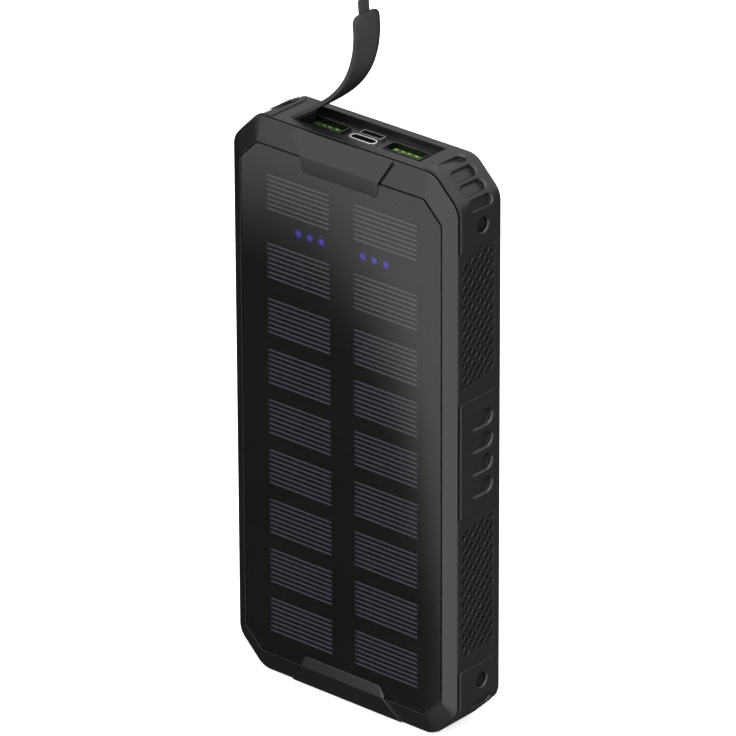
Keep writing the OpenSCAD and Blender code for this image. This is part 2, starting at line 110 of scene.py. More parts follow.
class Paint:
    """A small helper that builds one node material."""

    def __init__(self, name):
        self.mat = bpy.data.materials.new(name)
        self.mat.use_nodes = True
        self.tree = self.mat.node_tree
        self.tree.nodes.clear()
        self.out = self.node("ShaderNodeOutputMaterial")
        self.coords = self.node("ShaderNodeTexCoord").outputs["Object"]

    def node(self, kind, **values):
        n = self.tree.nodes.new(kind)
        for key, value in values.items():
            setattr(n, key, value)
        return n

    def link(self, a, b):
        self.tree.links.new(a, b)

    def noise(self, scale, detail=3.0, rough=0.55, stretch=None):
        n = self.node("ShaderNodeTexNoise")
        n.inputs["Scale"].default_value = scale
        n.inputs["Detail"].default_value = detail
        n.inputs["Roughness"].default_value = rough
        where = self.coords
        if stretch:
            m = self.node("ShaderNodeMapping")
            m.inputs["Scale"].default_value = stretch
            self.link(where, m.inputs["Vector"])
            where = m.outputs["Vector"]
        self.link(where, n.inputs["Vector"])
        return n.outputs["Fac"]

    def voronoi(self, scale, feature="F1", output="Distance"):
        n = self.node("ShaderNodeTexVoronoi", feature=feature)
        n.inputs["Scale"].default_value = scale
        self.link(self.coords, n.inputs["Vector"])
        return n.outputs[output]

    def ramp(self, value, low, high, to_low=0.0, to_high=1.0, kind="LINEAR"):
        n = self.node("ShaderNodeMapRange", interpolation_type=kind)
        for key, x in (("From Min", low), ("From Max", high), ("To Min", to_low), ("To Max", to_high)):
            n.inputs[key].default_value = x
        self.link(value, n.inputs["Value"])
        return n.outputs["Result"]

    def math(self, kind, a, b=None):
        n = self.node("ShaderNodeMath", operation=kind)
        for socket, x in zip(n.inputs, (a, b)):
            if x is None:
                continue
            if isinstance(x, (int, float)):
                socket.default_value = x
            else:
                self.link(x, socket)
        return n.outputs["Value"]

    def mix(self, fac, a, b):
        n = self.node("ShaderNodeMix", data_type="RGBA")
        self.link(fac, n.inputs["Factor"])
        for socket, x in zip([s for s in n.inputs if s.type == "RGBA"], (a, b)):
            if isinstance(x, (tuple, list)):
                socket.default_value = (*x, 1)
            else:
                self.link(x, socket)
        return [s for s in n.outputs if s.type == "RGBA"][0]

    def bump(self, height, strength, distance, after=None):
        n = self.node("ShaderNodeBump")
        n.inputs["Strength"].default_value = strength
        n.inputs["Distance"].default_value = distance
        self.link(height, n.inputs["Height"])
        if after is not None:
            self.link(after, n.inputs["Normal"])
        return n.outputs["Normal"]

    def rounded(self, radius):
        """Normal that turns smoothly round the edges within a radius."""
        b = self.node("ShaderNodeBevel", samples=6)
        b.inputs["Radius"].default_value = radius
        return b.outputs["Normal"]

    def edge(self, soft):
        """0 on flat faces, rising to 1 on edges, which get a painted highlight and handling wear."""
        g = self.node("ShaderNodeNewGeometry")
        d = self.node("ShaderNodeVectorMath", operation="DOT_PRODUCT")
        self.link(soft, d.inputs[0])
        self.link(g.outputs["Normal"], d.inputs[1])
        return self.ramp(d.outputs["Value"], 0.99, 0.82)

    def principled(self, color, rough, metallic=0.0, normal=None, **sockets):
        p = self.node("ShaderNodeBsdfPrincipled")
        if isinstance(color, (tuple, list)):
            p.inputs["Base Color"].default_value = (*color, 1)
        else:
            self.link(color, p.inputs["Base Color"])
        if isinstance(rough, (int, float)):
            p.inputs["Roughness"].default_value = rough
        else:
            self.link(rough, p.inputs["Roughness"])
        p.inputs["Metallic"].default_value = metallic
        for key, value in sockets.items():
            p.inputs[key.replace("_", " ")].default_value = value
        if normal is not None:
            self.link(normal, p.inputs["Normal"])
        self.link(p.outputs["BSDF"], self.out.inputs["Surface"])
        return p

    def either(self, fac, a, b):
        """Ends the material in a blend of two shaders, given by their outputs."""
        n = self.node("ShaderNodeMixShader")
        for socket, x in zip(n.inputs, (fac, a, b)):
            self.link(x, socket)
        self.link(n.outputs["Shader"], self.out.inputs["Surface"])

    def backfacing(self):
        return self.node("ShaderNodeNewGeometry").outputs["Backfacing"]


def shade(color, k):
    return tuple(c * k for c in color)


def moulded(name, color, rough, grain=0.16, wear=1.5, soft=0.3, **sockets):
    """Spark-eroded moulded plastic: fine grain, slow colour drift, edges lightened by a painted highlight
    and polished by handling.
    """
    p = Paint(name)
    drift = p.noise(55, 4, 0.6)
    fine = p.noise(3200, 2, 0.6)
    pores = p.noise(1100, 3, 0.5)
    tone = p.mix(p.ramp(drift, 0.3, 0.7), shade(color, 0.88), shade(color, 1.12))
    speck = p.mix(p.ramp(fine, 0.35, 0.7), tone, shade(color, 1.28))
    round_normal = p.rounded(soft * MM)
    edges = p.edge(round_normal)
    # painted highlight: edges are lightened to wear times the colour in noisy patches, with some handling
    # wear; polish only lowers their roughness
    rub_and_highlight = p.math("MULTIPLY", edges, p.ramp(p.noise(420, 4, 0.65), 0.35, 0.75))
    worn_and_highlit = p.mix(rub_and_highlight, speck, shade(color, wear))
    polish = p.math("MULTIPLY", rub_and_highlight, 0.12)
    roughness = p.math("SUBTRACT", p.ramp(drift, 0.3, 0.7, rough - 0.012, rough + 0.018), polish)
    normal = p.bump(fine, grain, 0.03 * MM, p.bump(pores, grain * 0.8, 0.05 * MM, round_normal))
    p.principled(worn_and_highlit, roughness, normal=normal, **sockets)
    return p.mat


def rubber(name, color, rough, dusty_look=0.35, rear=1.0, **sockets):
    """Matt rubber with fine grit and dust; rear is the tone of a painted shade on what is turned to the
    back or down.
    """
    p = Paint(name)
    cloud = p.noise(90, 4, 0.6)
    grit = p.noise(2400, 3, 0.6)
    dust = p.ramp(p.noise(900, 5, 0.7), 0.62, 0.8)
    tone = p.mix(p.ramp(cloud, 0.3, 0.7), shade(color, 0.9), shade(color, 1.12))
    dusty = p.mix(p.math("MULTIPLY", dust, dusty_look), tone, shade(color, 1.7))
    # painted shade: faces turned to the back or down are darkened to rear times the colour
    if rear != 1.0:
        turned = p.node("ShaderNodeSeparateXYZ")
        p.link(p.node("ShaderNodeNewGeometry").outputs["Normal"], turned.inputs["Vector"])
        backward = p.ramp(turned.outputs["Y"], 0.03, 0.35)
        downward = p.ramp(turned.outputs["Z"], -0.3, -0.72, 0.0, 0.9)
        dusty = p.mix(p.math("MAXIMUM", backward, downward), dusty, shade(color, rear))
    normal = p.bump(grit, 0.22, 0.03 * MM)
    p.principled(dusty, p.ramp(cloud, 0.3, 0.7, rough - 0.05, rough + 0.06), normal=normal, **sockets)
    return p.mat


def metal(name, color, rough, brush=(1, 1, 1), wear=0.7):
    """Brushed or plated metal with stains."""
    p = Paint(name)
    streak = p.noise(900, 3, 0.6, brush)
    stain = p.noise(260, 4, 0.65)
    tone = p.mix(p.ramp(stain, 0.4, 0.75), color, shade(color, wear))
    normal = p.bump(streak, 0.12, 0.02 * MM)
    roughness = p.ramp(streak, 0.25, 0.75, rough - 0.07, rough + 0.1)
    p.principled(tone, roughness, metallic=1.0, normal=normal)
    return p.mat


def led_distance(p):
    """Distance from the middle of the nearest of the six status lights, seen from the front."""
    lo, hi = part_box("status_leds_right")
    radius = (hi.z - lo.z) / 2
    pitch = (hi.x - lo.x - 2 * radius) / 2
    centre = (lo.x + hi.x) / 2
    xyz = p.node("ShaderNodeSeparateXYZ")
    p.link(p.coords, xyz.inputs["Vector"])
    sideways = p.math("ADD", p.math("ABSOLUTE", xyz.outputs["X"]), -centre)
    whole = p.math("ROUND", p.math("DIVIDE", sideways, pitch))
    nearest = p.math("MINIMUM", p.math("MAXIMUM", whole, -1.0), 1.0)
    dx = p.math("SUBTRACT", sideways, p.math("MULTIPLY", nearest, pitch))
    dz = p.math("SUBTRACT", xyz.outputs["Z"], (lo.z + hi.z) / 2)
    return p.math("SQRT", p.math("ADD", p.math("MULTIPLY", dx, dx), p.math("MULTIPLY", dz, dz)))


def laminate(name, color, rough):
    """Black backing laminate of the solar board, with the status lights' faint spill."""
    p = Paint(name)
    drift = p.noise(40, 3, 0.5)
    weave = p.noise(2600, 2, 0.5)
    tone = p.mix(p.ramp(drift, 0.3, 0.7), shade(color, 0.8), shade(color, 1.2))
    normal = p.bump(weave, 0.08, 0.02 * MM)
    roughness = p.ramp(weave, 0.3, 0.7, rough - 0.05, rough + 0.08)
    s = p.principled(tone, roughness, normal=normal, Specular_IOR_Level=0.04)
    spill = p.math("POWER", p.ramp(led_distance(p), 0.6 * MM, 1.9 * MM, 1.0, 0.0), 1.6)
    p.link(p.mix(spill, (0, 0, 0), (0.036, 0.025, 0.24)), s.inputs["Emission Color"])
    s.inputs["Emission Strength"].default_value = 1.6
    return p.mat


def silicon(name):
    """Nearly black solar silicon with faint crystal grains."""
    p = Paint(name)
    grains = p.ramp(p.voronoi(480, output="Color"), 0.0, 1.0)
    tone = p.mix(grains, (0.020, 0.021, 0.031), (0.037, 0.039, 0.058))
    fine = p.noise(3000, 2, 0.5)
    p.principled(tone, p.ramp(grains, 0, 1, 0.34, 0.46), normal=p.bump(fine, 0.06, 0.02 * MM),
                 Specular_IOR_Level=0.04)
    return p.mat


def silver_print(name, color):
    """Screen-printed silver paste of the cells' finger lines."""
    p = Paint(name)
    grain = p.noise(2600, 3, 0.7)
    fade = p.noise(70, 3, 0.5)
    tone = p.mix(p.ramp(grain, 0.3, 0.75), shade(color, 0.78), shade(color, 1.15))
    tone = p.mix(p.ramp(fade, 0.3, 0.7, 0.0, 0.5), tone, shade(color, 0.8))
    normal = p.bump(grain, 0.25, 0.02 * MM)
    roughness = p.ramp(grain, 0.3, 0.7, 0.45, 0.62)
    p.principled(tone, roughness, metallic=0.2, normal=normal, Specular_IOR_Level=0.1)
    return p.mat


SMOKED = (0.36, 0.36, 0.37)


def window(name):
    """Smoked window: what is behind shows through darkened, and the surface mirrors softly."""
    p = Paint(name)
    behind = p.backfacing()
    clear = p.node("ShaderNodeBsdfTransparent")
    p.link(p.mix(behind, SMOKED, (1, 1, 1)), clear.inputs["Color"])
    smear = p.ramp(p.noise(38, 5, 0.6), 0.35, 0.75, 0.08, 0.11)
    gloss = p.node("ShaderNodeBsdfAnisotropic")
    gloss.inputs["Color"].default_value = (1, 1, 1, 1)
    p.link(smear, gloss.inputs["Roughness"])
    fresnel = p.node("ShaderNodeFresnel")
    fresnel.inputs["IOR"].default_value = 1.45
    front_only = p.math("MULTIPLY", fresnel.outputs["Fac"], p.math("SUBTRACT", 1.0, behind))
    p.either(front_only, clear.outputs["BSDF"], gloss.outputs["BSDF"])
    return p.mat


def board(name, color):
    """Solder-masked circuit board with a faint trace pattern."""
    p = Paint(name)
    lanes = p.noise(420, 1, 0.3, (1, 1, 0.15))
    cross = p.noise(420, 1, 0.3, (0.15, 1, 1))
    traces = p.math("MAXIMUM", p.ramp(lanes, 0.56, 0.58), p.ramp(cross, 0.57, 0.59))
    tone = p.mix(traces, color, shade(color, 1.8))
    p.principled(tone, 0.35, normal=p.bump(traces, 0.3, 0.03 * MM), Coat_Weight=0.3)
    return p.mat


def foil(name, color):
    """Creased aluminium foil of the battery pouches."""
    p = Paint(name)
    creases = p.voronoi(90, "DISTANCE_TO_EDGE")
    soft = p.noise(300, 4, 0.6)
    tone = p.mix(p.ramp(soft, 0.3, 0.7), shade(color, 0.85), color)
    normal = p.bump(creases, 0.15, 0.2 * MM)
    p.principled(tone, p.ramp(soft, 0.3, 0.7, 0.28, 0.42), metallic=0.9, normal=normal)
    return p.mat


def glow(name):
    """Lit status lights: a paler core in a blue-violet body."""
    p = Paint(name)
    ring = p.ramp(led_distance(p), 0.1 * MM, 0.62 * MM)
    grain = p.ramp(p.noise(1800, 3, 0.6), 0.3, 0.7)
    colour = p.mix(ring, (0.085, 0.06, 0.45), (0.035, 0.022, 0.26))
    colour = p.mix(p.math("MULTIPLY", grain, 0.35), colour, (0.05, 0.03, 0.36))
    s = p.principled((0.05, 0.04, 0.4), 0.3, normal=p.bump(grain, 0.1, 0.03 * MM))
    p.link(colour, s.inputs["Emission Color"])
    s.inputs["Emission Strength"].default_value = 1.7
    return p.mat


CHARCOAL = (0.0045, 0.0045, 0.0047)
mats = {
    "housing": moulded("housing_plastic", CHARCOAL, 0.38),
    "cover": moulded("cover_plastic", CHARCOAL, 0.45, 0.22),
    "bezel": moulded("bezel_plastic", (0.0035, 0.0035, 0.0036), 0.32, 0.1),
    # slot floors: darker and duller, a painted shade in the slots' hollows
    "recess": moulded("slot_floor_painted_shade", (0.003, 0.003, 0.0031), 0.5, 0.25, wear=1.1,
                      Specular_IOR_Level=0.22),
    "button": moulded("button_plastic", CHARCOAL, 0.36, 0.1),
    "window": window("window_clear"),
    "silicon": silicon("solar_silicon"),
    "leds": glow("led_blue"),
    "laminate": laminate("black_laminate", (0.023, 0.023, 0.025), 0.35),
    "seal": rubber("seal_rubber", (0.004, 0.004, 0.004), 0.75),
    "fingers": silver_print("silver_fingers", (0.11, 0.107, 0.12)),
    "screw": metal("black_steel", (0.045, 0.045, 0.048), 0.38),
    "grip": moulded("grip_ridges", (0.004, 0.004, 0.0042), 0.47, 0.25, soft=0.15,
                    Specular_IOR_Level=0.3),
    # knurl pits: darker and duller, a painted shade in the knurl's hollows
    "pit": rubber("grip_pits_painted_shade", (0.003, 0.003, 0.0031), 0.85, 0.2, Specular_IOR_Level=0.1),
    # the flap gets a painted shade, 0.08 of its colour, where it turns back or down
    "flap": rubber("flap_rubber", (0.027, 0.027, 0.0276), 0.66, rear=0.08, Specular_IOR_Level=0.13),
    "switch": metal("switch_metal", (0.6, 0.6, 0.6), 0.35),
    "pcb": board("circuit_board", (0.012, 0.07, 0.035)),
    "shell": metal("port_steel", (0.8, 0.79, 0.78), 0.26, (1, 1, 0.2)),
    "dark_shell": metal("black_nickel", (0.07, 0.07, 0.068), 0.34, (1, 1, 0.2)),
    "tin_shell": metal("tin_steel", (0.3, 0.3, 0.29), 0.3, (1, 1, 0.2)),
    "green": moulded("tongue_green", (0.018, 0.075, 0.006), 0.5, 0.1, wear=1.1,
                     Specular_IOR_Level=0.15),
    "black": moulded("tongue_black", (0.004, 0.004, 0.0042), 0.45, 0.1, wear=1.1,
                     Specular_IOR_Level=0.15),
    "gold": metal("contact_gold", (1.0, 0.88, 0.6), 0.36, (1, 1, 0.2), 0.9),
    "ferrite": rubber("ferrite", (0.05, 0.05, 0.055), 0.5),
    "chip": moulded("chip_black", (0.015, 0.015, 0.016), 0.45, 0.2),
    "lead": moulded("flex_lead", (0.16, 0.08, 0.02), 0.4, 0.1),
    "pouch": foil("pouch_foil", (0.5, 0.51, 0.53)),
    "nickel": metal("nickel", (0.7, 0.68, 0.63), 0.3),
    "foam": rubber("foam", (0.03, 0.03, 0.032), 0.9),
}


# ---------- CAD nodes: material, soft edges, smooth shading ----------

def dress(name, mat, bevel=0.0, angle=28.0, segments=2, merge=True):
    """Gives a CAD node its material, and rounds its edges by a bevel of so many millimetres."""
    o = NODES[name]
    o.data.materials.clear()
    o.data.materials.append(mats[mat])
    for layer in ("custom_normal", "sharp_face", "sharp_edge"):
        if layer in o.data.attributes:
            o.data.attributes.remove(o.data.attributes[layer])
    o.data.polygons.foreach_set("use_smooth", [True] * len(o.data.polygons))
    weld = o.modifiers.new("weld", "WELD")
    weld.merge_threshold = 0.002 * MM
    if merge:
        flat = o.modifiers.new("flat", "DECIMATE")
        flat.decimate_type = "DISSOLVE"
        flat.angle_limit = math.radians(0.6)
    if bevel:
        b = o.modifiers.new("edges", "BEVEL")
        b.width = bevel * MM
        b.segments = segments
        b.limit_method = "ANGLE"
        b.angle_limit = math.radians(angle)
        b.use_clamp_overlap = False
        b.harden_normals = True
    else:
        split = o.modifiers.new("split", "EDGE_SPLIT")
        split.split_angle = math.radians(angle)


dress("housing", "housing", 0.0, 25, merge=False)
dress("rear_cover", "cover", 0.12, 24, merge=False)
dress("front_bezel", "bezel", 0.0, 8, merge=False)
dress("window_lens", "window")
dress("solar_board", "laminate")
dress("front_seal", "seal", 0.1)
dress("case_screws", "screw", 0.08)
dress("power_button", "button", 0.3, 28, 3)
dress("tact_switch", "switch", 0.06)
dress("button_board", "pcb", 0.05)
dress("main_pcb", "pcb", 0.05)
dress("pcb_inductor", "ferrite", 0.3)
dress("pcb_controller", "chip", 0.08)
dress("solar_lead", "lead", 0.05)
dress("battery_front", "pouch", 0.6, 28, 3)
dress("battery_rear", "pouch", 0.6, 28, 3)
dress("battery_tabs", "nickel", 0.03)
dress("battery_pad", "foam", 0.1)
dress("flap_anchor", "flap", 0.12)
for side in SIDES:
    for row in ROWS:
        dress(f"solar_cell_{side}_{row}", "silicon")
    dress(f"usb_a_shell_{side}", "dark_shell", 0.07)
    dress(f"usb_a_tongue_{side}", "green", 0.1)
    dress(f"usb_a_contacts_{side}", "gold", 0.05)
    dress(f"status_leds_{side}", "leds")
for kind, steel in (("usb_c", "shell"), ("micro_usb", "tin_shell")):
    dress(f"{kind}_shell", steel, 0.06)
    dress(f"{kind}_tongue", "black", 0.06)


def slot_floors(node, mat, least, most, half_y):
    """Gives the floors of the shallow slots in a node's rim a darker, duller material of their own:
    painted shade in the slots' hollows.

    The floors lie between least and most below the rim, and within half_y of its middle.
    """
    mesh = NODES[node].data
    rim = [Vector((v.co.x, v.co.z)) for v in mesh.vertices if abs(v.co.y) < half_y]
    loop = [rim[i] for i in geometry.convex_hull_2d(rim)]
    middle = sum(loop, Vector((0, 0))) / len(loop)
    sides = []
    for a, b in zip(loop, loop[1:] + loop[:1]):
        out = Vector((b.y - a.y, a.x - b.x)).normalized()
        sides.append((a, out if out.dot(a - middle) > 0 else -out))
    mesh.materials.append(mats[mat])
    for face in mesh.polygons:
        if abs(face.center.y) < half_y:
            spot = Vector((face.center.x, face.center.z))
            deep, nearest = min(((a - spot).dot(out), k) for k, (a, out) in enumerate(sides))
            facing_out = Vector((face.normal.x, face.normal.z)).dot(sides[nearest][1]) > 0.9
            if least < deep < most and facing_out:
                face.material_index = len(mesh.materials) - 1


def shade_inside_shell(node, mat):
    """Gives the inner walls of a port's shell a darker, duller material than its rim: painted shade inside
    the port.
    """
    mesh = NODES[node].data
    lo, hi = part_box(node)
    mesh.materials.append(mats[mat])
    for face in mesh.polygons:
        x, y = face.center.x - (lo.x + hi.x) / 2, face.center.y - (lo.y + hi.y) / 2
        if abs(face.normal.z) < 0.5 and face.normal.x * x + face.normal.y * y < 0:
            face.material_index = len(mesh.materials) - 1


shade_inside_shell("usb_c_shell", "black")
shade_inside_shell("micro_usb_shell", "black")
slot_floors("housing", "recess", least=0.42 * MM, most=0.8 * MM, half_y=5.6 * MM)


# ---------- new pieces ----------

def piece(name, verts, faces, mat):
    """A smooth-shaded mesh with a material, its normals facing out."""
    mesh = bpy.data.meshes.new(name)
    mesh.from_pydata([tuple(v) for v in verts], [], faces)
    bm = bmesh.new()
    bm.from_mesh(mesh)
    bmesh.ops.recalc_face_normals(bm, faces=bm.faces)
    bm.to_mesh(mesh)
    bm.free()
    mesh.polygons.foreach_set("use_smooth", [True] * len(mesh.polygons))
    mesh.materials.append(mats[mat])
    mesh.update()
    o = bpy.data.objects.new(name, mesh)
    bpy.context.scene.collection.objects.link(o)
    return o


def finger_lines(side, row):
    """Eight printed lines across one solar cell, each a low rounded ridge."""
    lo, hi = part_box(f"solar_cell_{side}_{row}")
    count, pitch, width, thick = 8, 1.394 * MM, 0.5 * MM, 0.035 * MM
    margin, stations = 0.4 * MM, 24
    mid = (lo.z + hi.z) / 2
    x0, x1 = lo.x + margin, hi.x - margin
    section = ((-1, 0.0), (-0.72, 0.7), (-0.3, 1.0), (0.3, 1.0), (0.72, 0.7), (1, 0.0))
    n = len(section)
    verts, faces = [], []
    for i in range(count):
        z = mid + (i - (count - 1) / 2) * pitch
        start = len(verts)
        rng = random.Random(1000 * row + 10 * i + (1 if side == "left" else 0))
        for k in range(stations + 1):
            x = x0 + (x1 - x0) * k / stations
            half = width / 2 * (1 + rng.uniform(-0.05, 0.05))
            if k in (0, stations):
                half *= 0.8
            for across, high in section:
                verts.append((x, lo.y - thick * high, z + across * half))
        for k in range(stations):
            for j in range(n):
                a, b = start + k * n + j, start + k * n + (j + 1) % n
                faces.append((a, b, b + n, a + n))
        faces.append(tuple(range(start, start + n)))
        faces.append(tuple(range(start + stations * n, start + stations * n + n)))
    o = piece(f"finger_lines_{side}_{row}", verts, faces, "fingers")
    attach(o, "case")


for side in SIDES:
    for row in ROWS:
        finger_lines(side, row)


def smoothstep(t):
    t = min(1.0, max(0.0, t))
    return t * t * (3 - 2 * t)


def knurled(node, name, phase_y, phase_z):
    """A grip with a net of crossing ridges round sunken diamonds; the phases place the net, in mm."""
    mesh = NODES[node].data
    outer = max(abs(v.co.x) for v in mesh.vertices)
    inner = min(abs(v.co.x) for v in mesh.vertices)
    sign = 1 if mesh.vertices[0].co.x > 0 else -1
    face = [v.co for v in mesh.vertices if abs(v.co.x) > outer - 0.01 * MM]
    corners = sorted({(round(c.y, 6), round(c.z, 6)) for c in face})
    front = sorted(corners[:2], key=lambda c: c[1])
    rear = sorted(corners[-2:], key=lambda c: c[1])
    period_y, period_z, lean = 3.34 * MM, 3.3 * MM, 0.1
    ridge, flank, depth = 0.27 * MM, 0.42 * MM, 0.42 * MM
    rim, chamfer, step = 0.55 * MM, 0.1 * MM, 0.2 * MM
    across = round((rear[0][0] - front[0][0]) / step)
    along = round((front[1][1] - front[0][1]) / step)

    def height(y, z, edge):
        u = (y - phase_y * MM) / period_y
        v = (z - phase_z * MM - lean * (y - phase_y * MM)) / period_z
        half_pitch = period_y / math.sqrt(2)
        near = min(abs((u + v + 0.5) % 1 - 0.5), abs((u - v + 0.5) % 1 - 0.5)) * half_pitch
        wobble = 0.12 * noise.noise(Vector((y, z, 0.3)) * 900)
        sunk = smoothstep((near * (1 + wobble) - ridge) / flank)
        grit = 0.05 * noise.noise(Vector((y, z, 1.7)) * 2600)
        return -depth * min(1.0, max(0.0, sunk + grit * sunk)) * smoothstep(edge / rim)

    verts, faces = [], []
    for i in range(across + 1):
        s = i / across
        y = front[0][0] + (rear[0][0] - front[0][0]) * s
        z_low = front[0][1] + (rear[0][1] - front[0][1]) * s
        z_high = front[1][1] + (rear[1][1] - front[1][1]) * s
        for k in range(along + 1):
            z = z_low + (z_high - z_low) * k / along
            edge = min(y - front[0][0], rear[0][0] - y, z - z_low, z_high - z)
            x = outer + height(y, z, edge)
            if edge < 1e-9:
                x = outer - chamfer
            verts.append((sign * x, y, z))
    cols = along + 1
    for i in range(across):
        for k in range(along):
            a = i * cols + k
            faces.append((a, a + 1, a + cols + 1, a + cols))
    # side walls down to the bed, and the back
    loop = list(range(cols))
    loop += [i * cols + along for i in range(1, across + 1)]
    loop += [across * cols + k for k in range(along - 1, -1, -1)]
    loop += [i * cols for i in range(across - 1, 0, -1)]
    base = len(verts)
    verts += [(sign * inner, verts[j][1], verts[j][2]) for j in loop]
    for a in range(len(loop)):
        b = (a + 1) % len(loop)
        faces.append((loop[a], loop[b], base + b, base + a))
    faces.append(tuple(range(base, base + len(loop))))
    o = piece(name, verts, faces, "grip")
    # faces deep in the pits take the darker pit material: painted shade in the hollows
    o.data.materials.append(mats["pit"])
    for face in o.data.polygons:
        deep = sum(outer - abs(o.data.vertices[i].co.x) for i in face.vertices) / len(face.vertices)
        if len(face.vertices) == 4 and 0.4 * depth < deep <= 1.05 * depth:
            face.material_index = 1
    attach(o, "case")
    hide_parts(node)


for side in SIDES:
    knurled(f"grip_{side}_upper", f"knurled_grip_{side}_upper", -3.2, 140.5)
    knurled(f"grip_{side}_lower", f"knurled_grip_{side}_lower", -4.42, 61.17)


# ---------- the rubber flap ----------

# the flap's hinges in order from its root, and the bodies that they join
hinges = [j for j in frame["joints"] if j["type"] == "hinge"]
pivots = [Vector(j["pos_m"]) for j in hinges]
bodies = ["case"] + [j["child"] for j in hinges]
flap_y = pivots[0].y
link_lo, link_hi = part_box("flap_link_1")
half_width = (link_hi.y - link_lo.y) / 2
thickness = 1.3 * MM
tip_node = [v.co.copy() for v in NODES["flap_link_6"].data.vertices]


# slope and length of each link, from hinge to hinge; the last runs from its hinge to its pull tab
slopes = [math.atan2(b.z - a.z, b.x - a.x) for a, b in zip(pivots, pivots[1:])]
lengths = [(b - a).length for a, b in zip(pivots, pivots[1:])]
slopes.append(math.radians(95))
last = Vector((math.cos(slopes[-1]), 0, math.sin(slopes[-1])))
tab_length = 4.0 * MM
lengths.append(max((v - pivots[-1]).dot(last) for v in tip_node) - tab_length)
starts = [sum(lengths[:i]) for i in range(len(lengths))]
middles = [s + l / 2 for s, l in zip(starts, lengths)]
total = sum(lengths)


def slope_at(s):
    """Slope of the strap's middle line: each link's own at its middle, and even in between."""
    if s <= middles[0]:
        return slopes[0]
    for (a, sa), (b, sb) in zip(zip(middles, slopes), zip(middles[1:], slopes[1:])):
        if s <= b:
            t = (s - a) / (b - a)
            return sa + (sb - sa) * t
    return slopes[-1]


known_points = {}  # what line_at has worked out, by rounded distance


def line_at(s):
    """Point on the strap's middle line at distance s from the root hinge."""
    key = round(s * 1e7)
    if key not in known_points:
        steps = max(8, int(abs(s) / (0.1 * MM)))
        x, z = pivots[0].x, pivots[0].z
        for i in range(steps):
            a = slope_at(s * (i + 0.5) / steps)
            x += math.cos(a) * s / steps
            z += math.sin(a) * s / steps
        known_points[key] = (x, z)
    return known_points[key]


def strap_section(s, half):
    """Cross-section of the strap at s: a flat bar with rounded long edges, the lower rear one most."""
    x, z = line_at(s)
    a = slope_at(s)
    nx, nz = -math.sin(a), math.cos(a)
    r = 0.42 * MM
    ring = []
    wide, deep = min(3.0 * MM, 0.45 * half), 0.6 * MM
    corners = ((1, 1, 0, r, r), (-1, 1, 90, r, r), (-1, -1, 180, r, r), (1, -1, 270, wide, deep))
    for cy, cn, start, ry, rn in corners:
        for k in range(5):
            t = math.radians(start + 22.5 * k)
            y = cy * (half - ry) + ry * math.cos(t)
            n = cn * (thickness / 2 - rn) + rn * math.sin(t)
            ring.append((x + nx * n, flap_y + y, z + nz * n))
    return ring


def strap(name, s0, s1, taper=False):
    """The stretch of strap from s0 to s1; a tapered one ends in rounded corners."""
    count = max(6, round((s1 - s0) / (0.35 * MM)))
    stations = [s0 + (s1 - s0) * i / count for i in range(count + 1)]
    corner = 2.0 * MM
    if taper:
        stations = [s for s in stations if s < s1 - corner] + [
            s1 - corner + corner * math.sin(math.radians(9 * k)) for k in range(11)
        ]
    verts, faces = [], []
    for s in stations:
        half = half_width
        if taper and s > s1 - corner:
            half = half_width - corner + math.sqrt(max(0.0, corner**2 - (s - s1 + corner) ** 2))
        verts += strap_section(s, half)
    n = len(verts) // len(stations)
    for i in range(len(stations) - 1):
        for j in range(n):
            a, b = i * n + j, i * n + (j + 1) % n
            faces.append((a, b, b + n, a + n))
    faces.append(tuple(range(n)))
    faces.append(tuple(range(len(verts) - n, len(verts))))
    o = piece(name, verts, faces, "flap")
    split = o.modifiers.new("split", "EDGE_SPLIT")
    split.split_angle = math.radians(50)
    return o


def point(s):
    x, z = line_at(s)
    return (x, flap_y, z)


# six skins, each spanning one hinge, and the tip
root_in = 0.35 * MM    # how far the root reaches into its anchor
root_bend = 3.2 * MM   # a place past the root's hinge
ease = 0.4 * MM        # a distance in from each end of a skin
root = strap("flap_strap_1", -root_in, middles[0])
point(-root_in)
point(root_bend)
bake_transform(root)
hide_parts("flap_link_1")
for k in range(1, 6):
    s0, s1 = middles[k - 1], middles[k]
    span = strap(f"flap_strap_{k + 1}", s0, s1)
    point(s0 + ease)
    point(s1 - ease)
    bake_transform(span)
    if k < 5:
        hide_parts(f"flap_link_{k + 1}")
tip = strap("flap_tip", middles[5], total, taper=True)
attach(tip, bodies[6])
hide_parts("flap_link_6")


def pull_tab():
    """The tab at the flap's tip: a thin tongue with a rounded free end."""
    half, thick, sunk, offset, r = 2.0 * MM, 0.7 * MM, 0.8 * MM, 0.3 * MM, 0.9 * MM
    x0, z0 = line_at(total)
    a = slopes[-1]
    dx, dz, nx, nz = math.cos(a), math.sin(a), -math.sin(a), math.cos(a)
    outline = [(-sunk, half), (-sunk, -half)]
    for start, side in ((-90, -1), (0, 1)):
        for k in range(7):
            t = math.radians(start + 15 * k)
            outline.append((tab_length - r + r * math.cos(t), side * (half - r) + r * math.sin(t)))
    verts, faces = [], []
    for low in (offset, offset + thick):
        for u, y in outline:
            verts.append((x0 + dx * u + nx * low, flap_y + y, z0 + dz * u + nz * low))
    n = len(outline)
    faces.append(tuple(range(n)))
    faces.append(tuple(range(n, 2 * n)))
    for j in range(n):
        faces.append((j, (j + 1) % n, n + (j + 1) % n, n + j))
    o = piece("flap_pull_tab", verts, faces, "flap")
    b = o.modifiers.new("edges", "BEVEL")
    b.width, b.segments, b.limit_method = 0.18 * MM, 3, "ANGLE"
    b.angle_limit = math.radians(40)
    b.harden_normals = True
    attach(o, bodies[6])


pull_tab()


# ---------- stage and light ----------

